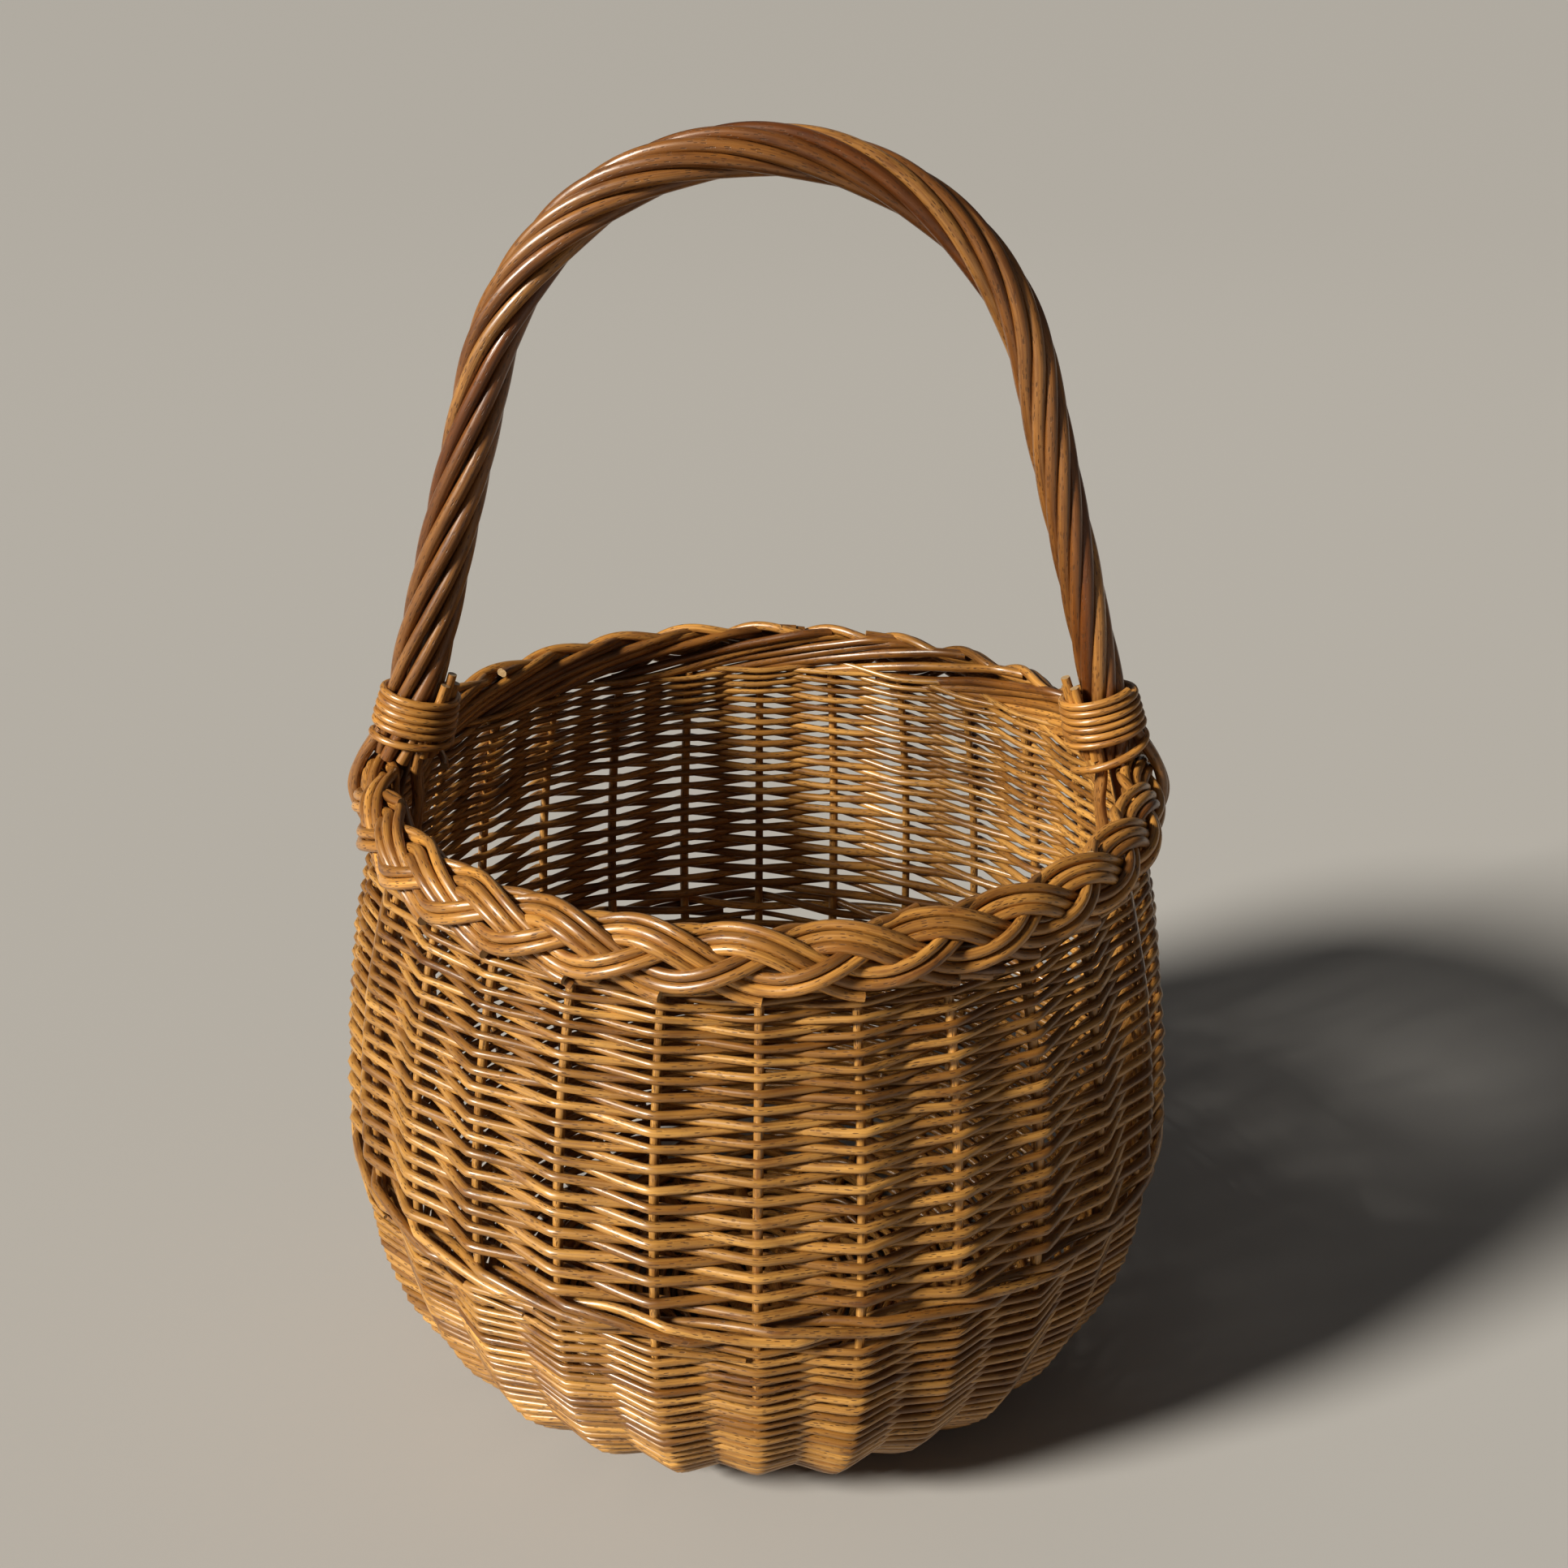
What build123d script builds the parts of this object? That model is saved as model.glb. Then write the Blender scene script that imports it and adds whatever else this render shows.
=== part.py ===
from build123d import *
import os
from math import acos, asin, atan2, cos, degrees, hypot, pi, radians, sin, sqrt, tan

# Round willow basket with a fixed roped bow handle. Millimetres and degrees.
# +Z is up, the handle stands in the XZ plane, and the origin is on the floor under
# the middle of the basket. Nothing on it moves.

# ---------------------------------------------------------------- driving dimensions

# Side of the basket, measured to the middle of its woven wall
waist_radius = 160.0            # at the widest place
heel_radius = 72.0              # curve that turns the wall up from the base
belly_radius = 160.0            # curve from the heel to the waist
heel_turn = 26.0                # angle below the waist where the belly meets the heel
shoulder_radius = 450.0         # gentle curve from the waist in to the rim
rim_height = 234.0              # top of the weave, under the border
weave_skin = 0.6                # least weave left beside the handle's core

# Bands of weave, from the floor up
upsett_height = 20.0
foot_width = 14.0               # flat ring that the basket stands on
waist_wale_height = 12.0
waist_wale_rise = 2.0           # how far the waist wale reaches above the widest place

# Stakes: the uprights, each turned out of the base and up the wall
stake_count = 28
stake_diameter = 4.0
stake_insert = 18.0             # length of each butt that is pushed into the base

# Base: sticks threaded through pierced sticks, then woven round
pierced_count = 3
pierced_diameter = 7.5
threaded_count = 4
threaded_diameter = 4.6
stick_run = 3.0                 # straight length beyond the cross before a stick fans out
base_eye_radius = 24.0          # bare cross of sticks in the middle

# Border: two thick strands, one above the other, and a thinner one inside them
strand_diameter = 13.0
inner_strand_diameter = 7.0
border_overhang = 3.3           # how far the lower strand stands out past the wall's middle
border_lean = 1.0               # how far the upper strand leans in

# Handle
crown_height = 483.6            # middle of the handle at its highest
bow_radius = 101.0
core_diameter = 8.4
roping_count = 8
roping_diameter = 4.7
roping_pitch = 180.0            # length of handle for one turn of the roping
roping_step = 12.0              # length of handle between bends of a roping rod
bend_share = 0.45               # share of a run that the arc at its end takes up

# Lashings and tails at the handle's feet
lashing_turns = 6
lashing_diameter = 3.3
lashing_rise = 5.2              # space between the border and the lashing, for the tail
tail_diameter = 4.0
tail_drop = 7.0                 # how far below the rim a tail ends
tail_bend = 5.0                 # radius at which a tail turns down outside the border
tail_tuck_bend = 4.0            # radius at which it turns in under the border

# Clearances
stake_clearance = 0.15          # round a stake or base stick, in the weave
core_clearance = 0.2            # round the handle's core, in the weave and border
stick_gap = 0.2                 # between neighbouring base sticks
seat_gap = 0.3                  # between pieces that lie on each other
roping_gap = 0.45               # round a roping rod, which runs in short arcs
crowding_gap = 0.8              # between the handle's core and the stake beside it
notch_margin = 5.0              # how far a cutter runs past what it cuts

# ---------------------------------------------------------------- worked-out places

wall_thickness = core_diameter + 2 * (core_clearance + weave_skin)
half_wall = wall_thickness / 2
half_stake_space = stake_diameter / 2 + stake_clearance
base_thickness = wall_thickness - 2 * seat_gap
base_level = half_wall
heel_centre_height = base_level + heel_radius
waist_height = heel_centre_height + (belly_radius - heel_radius) * sin(radians(heel_turn))
belly_centre_radius = waist_radius - belly_radius
base_radius = belly_centre_radius + (belly_radius - heel_radius) * cos(radians(heel_turn))
shoulder_centre_radius = waist_radius - shoulder_radius
rim_angle = degrees(asin((rim_height - waist_height) / shoulder_radius))
rim_radius = shoulder_centre_radius + shoulder_radius * cos(radians(rim_angle))
waist_wale_top = waist_height + waist_wale_rise
waist_wale_bottom = waist_wale_top - waist_wale_height
stake_pitch = 360.0 / stake_count
stake_butt_radius = base_radius - stake_insert

lower_strand_radius = rim_radius + border_overhang
lower_strand_height = rim_height + seat_gap + strand_diameter / 2
upper_strand_radius = lower_strand_radius - border_lean
strand_spacing = strand_diameter + seat_gap
upper_strand_height = lower_strand_height + sqrt(strand_spacing**2 - border_lean**2)
border_top = upper_strand_height + strand_diameter / 2
inner_spacing = strand_diameter / 2 + inner_strand_diameter / 2 + seat_gap
inner_offset = sqrt(inner_spacing**2 - (strand_spacing / 2) ** 2)
strand_tilt = asin(border_lean / strand_spacing)
inner_strand_radius = (lower_strand_radius + upper_strand_radius) / 2 - inner_offset * cos(strand_tilt)
inner_strand_height = (lower_strand_height + upper_strand_height) / 2 - inner_offset * sin(strand_tilt)
border_reach = lower_strand_radius + strand_diameter / 2

orbit_on_core = core_diameter / 2 + roping_gap + roping_diameter / 2
orbit_side_by_side = (roping_diameter + roping_gap) / (2 * sin(pi / roping_count))
roping_orbit = max(orbit_on_core, orbit_side_by_side)
rope_radius = roping_orbit + roping_diameter / 2
roping_start_height = border_top + seat_gap
lashing_start_height = border_top + lashing_rise
core_foot_height = waist_wale_top + seat_gap
over_top = rim_angle + degrees(notch_margin / shoulder_radius)
crowding = degrees(asin((core_diameter / 2 + stake_diameter / 2 + crowding_gap) / rim_radius))


# ---------------------------------------------------------------- helpers

def upright(radius, height):
    """A point of the XZ plane, from its distance off the axis and its height."""
    return Vector(radius, 0, height)


def arc(centre_radius, centre_height, radius, start_angle, end_angle):
    """An arc in the XZ plane, with angles measured up from +X."""
    middle_angle = (start_angle + end_angle) / 2
    points = []
    for angle in (start_angle, middle_angle, end_angle):
        across = radius * cos(radians(angle))
        up = radius * sin(radians(angle))
        points.append(upright(centre_radius + across, centre_height + up))
    return ThreePointArc(*points)


def wall_arcs(offset, top_angle):
    """The wall's three curves from the base up, moved out by an offset."""
    heel = arc(base_radius, heel_centre_height, heel_radius + offset, -90, -heel_turn)
    belly = arc(belly_centre_radius, waist_height, belly_radius + offset, -heel_turn, 0)
    shoulder = arc(shoulder_centre_radius, waist_height, shoulder_radius + offset, 0, top_angle)
    return [heel, belly, shoulder]


def slab(low, high):
    """A tall strip of the XZ plane between two heights, for cutting the wall into bands."""
    width = 2 * waist_radius
    return Plane.XZ * Pos(width / 2, (low + high) / 2) * Rectangle(width, high - low)


def rod(start, end, diameter):
    """A straight rod between two points."""
    axis = end - start
    align = (Align.CENTER, Align.CENTER, Align.MIN)
    return Plane(origin=start, z_dir=axis) * Cylinder(diameter / 2, axis.length, align=align)


def bent_rod(points, diameter):
    """A rod with straight runs and rounded corners."""
    solid = rod(points[0], points[1], diameter)
    for corner, after in zip(points[1:-1], points[2:]):
        solid += Pos(*corner) * Sphere(diameter / 2)
        solid += rod(corner, after, diameter)
    return solid


def swept(path, diameter):
    """A round rod along a smooth path."""
    start = Plane(origin=path @ 0, z_dir=path % 0)
    return sweep(start * Circle(diameter / 2), path=path)


def large_bends(points):
    """For each corner of a path, almost the largest arc that its two runs leave room for."""
    radii = []
    for before, corner, after in zip(points, points[1:], points[2:]):
        run_in = corner - before
        run_out = after - corner
        half_turn = radians(run_in.get_angle(run_out)) / 2
        radii.append(bend_share * min(run_in.length, run_out.length) / tan(half_turn))
    return radii


def ring(radius, height, diameter):
    """One round ring about the basket's axis."""
    return Pos(0, 0, height) * Torus(radius, diameter / 2)


def save(part, name):
    """Write one sub-part to its own file."""
    part.label = name
    export_step(part, os.path.join("parts", name + ".step"))


os.makedirs("parts", exist_ok=True)

# ---------------------------------------------------------------- stakes

def stake_path(butt_radius, top_angle):
    """Out along the base, round the heel and up the middle of the wall."""
    butt = Line(upright(butt_radius, base_level), upright(base_radius, base_level))
    return Wire([butt.edge()] + [curve.edge() for curve in wall_arcs(0, top_angle)])


def stake_angle(index):
    """The stakes beside the handle's feet are crowded aside by its core."""
    angle = index * stake_pitch
    beside_handle = index % (stake_count // 2) == 0
    return angle + crowding if beside_handle else angle


stake_angles = [stake_angle(index) for index in range(stake_count)]
stake = swept(stake_path(stake_butt_radius, rim_angle), stake_diameter)
for index, angle in enumerate(stake_angles):
    save(Rot(0, 0, angle) * stake, f"stake_{index + 1:02d}")

# Holes that the stakes' butts are pushed into, a little deeper than the butts
hole_bottom = upright(stake_butt_radius - seat_gap, base_level)
butt_hole = rod(hole_bottom, upright(base_radius, base_level), 2 * half_stake_space)
butt_holes = [Rot(0, 0, angle) * butt_hole for angle in stake_angles]

# ---------------------------------------------------------------- base sticks

# The cross is turned by half a stake's pitch, so that each stick's end lies between two stakes
slath_turn = stake_pitch / 2
end_pitch = 2 * stake_pitch
stick_end_radius = base_radius - seat_gap - stick_gap
pierced_spacing = pierced_diameter + stick_gap
threaded_spacing = threaded_diameter + stick_gap
pierced_half_width = pierced_count * pierced_spacing / 2
threaded_half_width = threaded_count * threaded_spacing / 2


def stick_points(offset, end_angle, bend_distance):
    """A stick along X: straight over the cross, then fanned out to its ends."""
    end = Vector(stick_end_radius * cos(radians(end_angle)),
                 stick_end_radius * sin(radians(end_angle)), base_level)
    bend = Vector(bend_distance, offset, base_level)
    far_bend = Vector(-bend.X, bend.Y, bend.Z)
    far_end = Vector(-end.X, end.Y, end.Z)
    return [far_end, far_bend, bend, end]


def fan(count, spacing, bend_distance, diameter):
    """The sticks of one arm of the cross, lying along X."""
    sticks = []
    for index in range(count):
        place = index - (count - 1) / 2
        points = stick_points(place * spacing, place * end_pitch, bend_distance)
        sticks.append(bent_rod(points, diameter))
    return sticks


threaded_bend = pierced_half_width + stick_run
pierced_bend = threaded_half_width + stick_run
slot_width = threaded_count * threaded_spacing + 2 * stake_clearance
slot = Pos(0, 0, base_level) * Box(slot_width, 2 * base_radius, threaded_diameter + 2 * stake_clearance)

threaded = fan(threaded_count, threaded_spacing, threaded_bend, threaded_diameter)
pierced = [stick - slot for stick in fan(pierced_count, pierced_spacing, pierced_bend, pierced_diameter)]
for index, stick in enumerate(threaded):
    save(Rot(0, 0, slath_turn) * stick, f"threaded_stick_{index + 1}")
for index, stick in enumerate(pierced):
    save(Rot(0, 0, slath_turn + 90) * stick, f"pierced_stick_{index + 1}")

# ---------------------------------------------------------------- base weave

wide_threaded = fan(threaded_count, threaded_spacing, threaded_bend,
                    threaded_diameter + 2 * stake_clearance)
wide_pierced = fan(pierced_count, pierced_spacing, pierced_bend,
                   pierced_diameter + 2 * stake_clearance)
stick_channels = [Rot(0, 0, slath_turn) * stick for stick in wide_threaded]
stick_channels += [Rot(0, 0, slath_turn + 90) * stick for stick in wide_pierced]
base_outer_radius = base_radius - seat_gap
base_weave = Pos(0, 0, base_level) * Cylinder(base_outer_radius, base_thickness)
base_weave -= Pos(0, 0, base_level) * Cylinder(base_eye_radius, 2 * base_thickness)
save(base_weave - stick_channels - butt_holes, "base_weave")

# ---------------------------------------------------------------- woven bands of the wall

# Every band is an outer and an inner ring of weave, and the stakes stand between them

def weave_section(low_offset, high_offset):
    """The section of a layer of weave, between two offsets from the wall's middle."""
    low_curves = wall_arcs(low_offset, over_top)
    high_curves = wall_arcs(high_offset, over_top)
    top_line = Line(low_curves[-1] @ 1, high_curves[-1] @ 1)
    base_line = Line(low_curves[0] @ 0, high_curves[0] @ 0)
    return make_face([*low_curves, *high_curves, top_line, base_line])


def band(section, low, high):
    """The ring that a section makes between two heights."""
    return revolve(section & slab(low, high), axis=Axis.Z)


outer_section = weave_section(half_stake_space, half_wall)
inner_section = weave_section(-half_wall, -half_stake_space)
foot_height = half_wall - half_stake_space
foot_section = Plane.XZ * Pos(base_radius + foot_width / 2, foot_height / 2) * Rectangle(foot_width, foot_height)

foot = revolve(foot_section, axis=Axis.Z)
save(band(outer_section, 0, upsett_height) + foot, "upsett_outer")
save(band(inner_section, 0, upsett_height), "upsett_inner")
save(band(outer_section, upsett_height, waist_wale_bottom), "lower_weave_outer")
save(band(inner_section, upsett_height, waist_wale_bottom), "lower_weave_inner")
save(band(outer_section, waist_wale_bottom, waist_wale_top), "waist_wale_outer")
save(band(inner_section, waist_wale_bottom, waist_wale_top), "waist_wale_inner")

# ---------------------------------------------------------------- handle's line

# The legs are straight, and touch both the shoulder's curve and the bow's curve
bow_centre_height = crown_height - bow_radius
centre_run = -shoulder_centre_radius
centre_rise = bow_centre_height - waist_height
centre_distance = hypot(centre_run, centre_rise)
leg_angle = degrees(atan2(centre_rise, centre_run) - acos((shoulder_radius - bow_radius) / centre_distance))
core_foot_angle = degrees(asin((core_foot_height - waist_height) / shoulder_radius))

shoulder_curve = arc(shoulder_centre_radius, waist_height, shoulder_radius, core_foot_angle, leg_angle)
crown_curve = arc(0, bow_centre_height, bow_radius, leg_angle, 180 - leg_angle)
leg = Line(shoulder_curve @ 1, crown_curve @ 0)
far_leg = mirror(leg, Plane.YZ)
far_shoulder = mirror(shoulder_curve, Plane.YZ)
bow_edges = [shoulder_curve, leg, crown_curve, far_leg, far_shoulder]
bow_line = Wire([curve.edge() for curve in bow_edges])
half_bow = bow_line.length / 2


def bow_frame(distance):
    """A point of the handle's line, a distance along it, and its outward direction."""
    point = bow_line.position_at(distance, position_mode=PositionMode.LENGTH)
    along = bow_line.tangent_at(distance, position_mode=PositionMode.LENGTH)
    return point, Vector(0, 1, 0).cross(along).normalized()


def bow_distance(height):
    """How far along the handle's line it first reaches a height."""
    low, high = 0.0, half_bow
    while high - low > 0.001:
        middle = (low + high) / 2
        if bow_frame(middle)[0].Z < height:
            low = middle
        else:
            high = middle
    return high


core = swept(bow_line, core_diameter)
save(core, "handle_core")
core_channel = swept(bow_line, core_diameter + 2 * core_clearance)
save(band(outer_section, waist_wale_top, rim_height) - core_channel, "upper_weave_outer")
save(band(inner_section, waist_wale_top, rim_height) - core_channel, "upper_weave_inner")

# ---------------------------------------------------------------- border

save(ring(lower_strand_radius, lower_strand_height, strand_diameter) - core_channel, "border_lower_strand")
save(ring(upper_strand_radius, upper_strand_height, strand_diameter) - core_channel, "border_upper_strand")

# The inner strand stops at the handle on both sides
strand_break = Pos(0, 0, inner_strand_height) * Box(
    4 * waist_radius, core_diameter + 2 * seat_gap, 2 * strand_diameter)
inner_strand = ring(inner_strand_radius, inner_strand_height, inner_strand_diameter) - strand_break
save(inner_strand, "border_inner_strand")

# ---------------------------------------------------------------- roping of the handle

roping_start = bow_distance(roping_start_height)
roping_length = bow_line.length - 2 * roping_start
roping_runs = round(roping_length / roping_step)


def roping_rod(index):
    """One rod of the roping, wound round the core in short runs joined by large arcs."""
    points = []
    for run in range(roping_runs + 1):
        distance = roping_start + roping_length * run / roping_runs
        point, outward = bow_frame(distance)
        turn = 2 * pi * (distance / roping_pitch + index / roping_count)
        across = outward * cos(turn) + Vector(0, 1, 0) * sin(turn)
        points.append(point + across * roping_orbit)
    path = FilletPolyline(*points, radius=large_bends(points))
    return swept(path, roping_diameter)


for index in range(roping_count):
    save(roping_rod(index), f"roping_rod_{index + 1}")

# ---------------------------------------------------------------- lashings and tails

lashing_bore = rope_radius + seat_gap
lashing_height = lashing_turns * lashing_diameter
foot_point, foot_outward = bow_frame(bow_distance(lashing_start_height))
foot_along = foot_outward.cross(Vector(0, 1, 0))


def lashing():
    """Turns of split willow round the foot of the handle, pulled tight against each other."""
    turn = Pos(lashing_bore + lashing_diameter / 2, 0) * Circle(lashing_diameter / 2)
    seat = Pos(lashing_bore + lashing_diameter / 4, 0) * Rectangle(lashing_diameter / 2, lashing_diameter)
    section = Sketch()
    for index in range(lashing_turns):
        section += Pos(0, (index + 0.5) * lashing_diameter) * (turn + seat)
    wound = revolve(Plane.XZ * section, axis=Axis.Z)
    return Plane(origin=foot_point, z_dir=foot_along) * wound


def tail():
    """A roping rod's end, brought out over the border and tucked in below it."""
    reach = border_reach + seat_gap + tail_diameter / 2
    level = border_top + seat_gap + tail_diameter / 2
    inner = bow_frame(bow_distance(level))[0].X
    end_height = rim_height - tail_drop
    end_angle = asin((end_height - waist_height) / shoulder_radius)
    wall_reach = half_wall + seat_gap + tail_diameter / 2
    end_radius = shoulder_centre_radius + (shoulder_radius + wall_reach) * cos(end_angle)
    points = [upright(inner + rope_radius + seat_gap, level), upright(reach, level),
              upright(reach, rim_height), upright(end_radius, end_height)]
    path = FilletPolyline(*points, radius=[tail_bend, tail_tuck_bend])
    return swept(path, tail_diameter)


save(lashing(), "lashing_right")
save(Rot(0, 0, 180) * lashing(), "lashing_left")
save(tail(), "tail_right")
save(Rot(0, 0, 180) * tail(), "tail_left")
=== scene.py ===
"""A round willow basket: rods woven round stakes, a plaited border and a roped bow handle."""
import math

import bpy
import numpy as np
from mathutils import Matrix, Vector


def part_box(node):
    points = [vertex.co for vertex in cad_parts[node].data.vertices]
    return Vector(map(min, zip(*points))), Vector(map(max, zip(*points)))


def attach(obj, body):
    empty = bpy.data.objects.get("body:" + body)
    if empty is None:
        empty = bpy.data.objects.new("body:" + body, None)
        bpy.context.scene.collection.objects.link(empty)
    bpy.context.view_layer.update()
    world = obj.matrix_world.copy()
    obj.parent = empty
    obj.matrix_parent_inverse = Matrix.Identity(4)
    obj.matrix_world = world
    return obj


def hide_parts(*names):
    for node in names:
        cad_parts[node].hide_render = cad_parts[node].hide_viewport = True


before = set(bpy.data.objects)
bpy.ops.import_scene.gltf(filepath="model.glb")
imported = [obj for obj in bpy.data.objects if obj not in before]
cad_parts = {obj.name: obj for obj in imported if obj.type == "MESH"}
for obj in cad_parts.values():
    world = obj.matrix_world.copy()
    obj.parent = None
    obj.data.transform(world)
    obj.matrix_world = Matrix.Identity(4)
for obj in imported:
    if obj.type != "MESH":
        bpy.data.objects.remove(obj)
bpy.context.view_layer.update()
rng = np.random.default_rng(11)
MM = 0.001

# ---------------------------------------------------------------- sizes, from the frame

WALL = 10 * MM                                   # thickness of the woven wall
HEEL_RADIUS = 72 * MM                            # curves of the wall's middle
BELLY_RADIUS = 160 * MM
SHOULDER_RADIUS = 450 * MM
HEEL_TURN = math.radians(26)
WAIST_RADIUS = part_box("waist_wale_outer")[1].x - WALL / 2
RIM_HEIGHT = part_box("upper_weave_outer")[1].z
UPSETT_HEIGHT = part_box("upsett_outer")[1].z
BASE_LEVEL = WALL / 2
HEEL_CENTRE = (WAIST_RADIUS - BELLY_RADIUS + (BELLY_RADIUS - HEEL_RADIUS) * math.cos(HEEL_TURN),
               BASE_LEVEL + HEEL_RADIUS)
WAIST_HEIGHT = HEEL_CENTRE[1] + (BELLY_RADIUS - HEEL_RADIUS) * math.sin(HEEL_TURN)
HEEL_LENGTH = HEEL_RADIUS * (math.pi / 2 - HEEL_TURN)
WAIST_LENGTH = HEEL_LENGTH + BELLY_RADIUS * HEEL_TURN
WALE_MIDDLE = WAIST_LENGTH - 4.5 * MM
RIM_LENGTH = WAIST_LENGTH + SHOULDER_RADIUS * math.asin((RIM_HEIGHT - WAIST_HEIGHT) / SHOULDER_RADIUS)
STAKE_COUNT = 28
STAKE_PITCH = 2 * math.pi / STAKE_COUNT
STAKE_RADIUS = 1.85 * MM


# ---------------------------------------------------------------- paths

def wall(length, offset=0.0):
    """Distance off the axis and height on the wall, from the length up its middle and an offset out."""
    length = np.asarray(length, float)
    heel = length / HEEL_RADIUS - math.pi / 2
    belly = (length - HEEL_LENGTH) / BELLY_RADIUS - HEEL_TURN
    shoulder = (length - WAIST_LENGTH) / SHOULDER_RADIUS
    on_heel = length < HEEL_LENGTH
    on_belly = length < WAIST_LENGTH
    angle = np.where(on_heel, heel, np.where(on_belly, belly, shoulder))
    radius = np.where(on_heel, HEEL_RADIUS, np.where(on_belly, BELLY_RADIUS, SHOULDER_RADIUS))
    across = np.where(on_heel, HEEL_CENTRE[0], WAIST_RADIUS - radius)
    up = np.where(on_heel, HEEL_CENTRE[1], WAIST_HEIGHT)
    radius = radius + offset
    return across + radius * np.cos(angle), up + radius * np.sin(angle)


def round_axis(distance, angle, height):
    """Points at given distances off the axis, angles about it and heights."""
    return np.stack(np.broadcast_arrays(distance * np.cos(angle), distance * np.sin(angle), height), -1)


def on_wall(length, angle, offset=0.0):
    distance, height = wall(length, offset)
    return round_axis(distance, angle, height)


def smooth(points, steps):
    """A Catmull-Rom curve through the points."""
    points = np.asarray(points, float)
    padded = np.concatenate([[2 * points[0] - points[1]], points, [2 * points[-1] - points[-2]]])
    t = np.linspace(0, len(points) - 1, steps)
    span = np.minimum(t.astype(int), len(points) - 2)
    u = (t - span)[:, None]
    a, b, c, d = (padded[span + k] for k in range(4))
    return 0.5 * (2 * b + (c - a) * u + (2 * a - 5 * b + 4 * c - d) * u**2 + (3 * b - a - 3 * c + d) * u**3)


def wander(count, size, waves, closed=True):
    """A smooth uneven line of small values."""
    t = np.linspace(0, 2 * math.pi, count, endpoint=not closed)
    value = np.zeros(count)
    for wave in range(1, waves + 1):
        value += np.sin(wave * t + rng.uniform(0, 2 * math.pi)) * rng.uniform(0.4, 1) / wave**0.5
    return size * value / waves**0.5


def unit(vectors):
    return vectors / np.maximum(np.linalg.norm(vectors, axis=-1, keepdims=True), 1e-12)


# ---------------------------------------------------------------- rods

class Rods:
    """Round rods gathered into one mesh, with the attributes that the willow materials read."""

    def __init__(self, sides=9):
        self.sides = sides
        self.points, self.grain, self.tone, self.pith, self.faces = [], [], [], [], []
        self.count = 0

    def _frames(self, path, up):
        """Two directions across the rod at each point: held to an up direction, or carried along untwisted."""
        along = unit(np.gradient(path, axis=0))
        if up is not None:
            side = unit(np.cross(along, np.broadcast_to(up, path.shape)))
            return side, np.cross(side, along)
        side = np.empty_like(path)
        side[0] = unit(np.cross(along[0], (0.31, 0.17, 0.93)))     # any direction off the rod's own
        for i in range(1, len(path)):
            side[i] = unit(side[i - 1] - along[i] * side[i - 1].dot(along[i]))
        return side, np.cross(side, along)

    def add(self, path, radius, up=None, tone=None, ends=True, flat=1.0):
        """One rod. flat thins it across the up direction; ends closes it with cut faces."""
        path = np.asarray(path, float)
        steps = len(path)
        radius = np.broadcast_to(radius, steps)[:, None, None]
        side, upward = self._frames(path, up)
        turn = np.linspace(0, 2 * math.pi, self.sides, endpoint=False)
        ring = side[:, None] * np.cos(turn)[None, :, None] + flat * upward[:, None] * np.sin(turn)[None, :, None]
        points = path[:, None] + ring * radius
        length = np.concatenate([[0], np.cumsum(np.linalg.norm(np.diff(path, axis=0), axis=1))])
        seed = rng.uniform(-5, 5)
        mean = float(radius.mean())
        grain = np.empty((steps, self.sides, 3))
        grain[..., 0] = length[:, None] + 3 * seed
        grain[..., 1] = np.cos(turn) * mean + seed
        grain[..., 2] = np.sin(turn) * mean
        tone = rng.beta(2, 2) if tone is None else tone
        self._store(points.reshape(-1, 3), grain.reshape(-1, 3), tone, 0.0)
        first = self.count - steps * self.sides
        row = np.arange(steps - 1)[:, None] * self.sides
        column = np.arange(self.sides)[None, :]
        after = (column + 1) % self.sides
        quads = np.stack([row + column, row + after, row + after + self.sides, row + column + self.sides], -1)
        self.faces.extend((quads.reshape(-1, 4) + first).tolist())
        if ends:
            for index in (0, steps - 1):
                self._store(points[index], grain[index] * (4, 1, 1), tone, 1.0)
                cap = list(range(self.count - self.sides, self.count))
                self.faces.append(cap[::-1] if index == 0 else cap)

    def _store(self, points, grain, tone, pith):
        self.points.append(points)
        self.grain.append(grain)
        self.tone.append(np.full(len(points), tone))
        self.pith.append(np.full(len(points), pith))
        self.count += len(points)

    def make(self, name, material, slot, nodes):
        """The finished piece, riding on the basket and standing for its CAD nodes."""
        mesh = bpy.data.meshes.new(name)
        mesh.vertices.add(self.count)
        mesh.vertices.foreach_set("co", np.concatenate(self.points).astype(np.float32).ravel())
        sizes = np.array([len(face) for face in self.faces])
        corners = np.array([corner for face in self.faces for corner in face], np.int32)
        mesh.loops.add(len(corners))
        mesh.loops.foreach_set("vertex_index", corners)
        mesh.polygons.add(len(sizes))
        mesh.polygons.foreach_set("loop_start", (np.cumsum(sizes) - sizes).astype(np.int32))
        mesh.update(calc_edges=True)
        mesh.shade_smooth()
        grain = mesh.attributes.new("grain", "FLOAT_VECTOR", "POINT")
        grain.data.foreach_set("vector", np.concatenate(self.grain).astype(np.float32).ravel())
        for key, values in (("tone", self.tone), ("pith", self.pith)):
            layer = mesh.attributes.new(key, "FLOAT", "POINT")
            layer.data.foreach_set("value", np.concatenate(values).astype(np.float32))
        mesh.materials.append(material)
        piece = bpy.data.objects.new(name, mesh)
        bpy.context.scene.collection.objects.link(piece)
        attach(piece, "root")
        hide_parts(*nodes)


# ---------------------------------------------------------------- materials

VARNISH = 0.6                                    # weight and roughness of the clear coat
VARNISH_ROUGHNESS = 0.28
KNOT_SIZE = 0.2                                  # as a share of the knots' spacing


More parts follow.
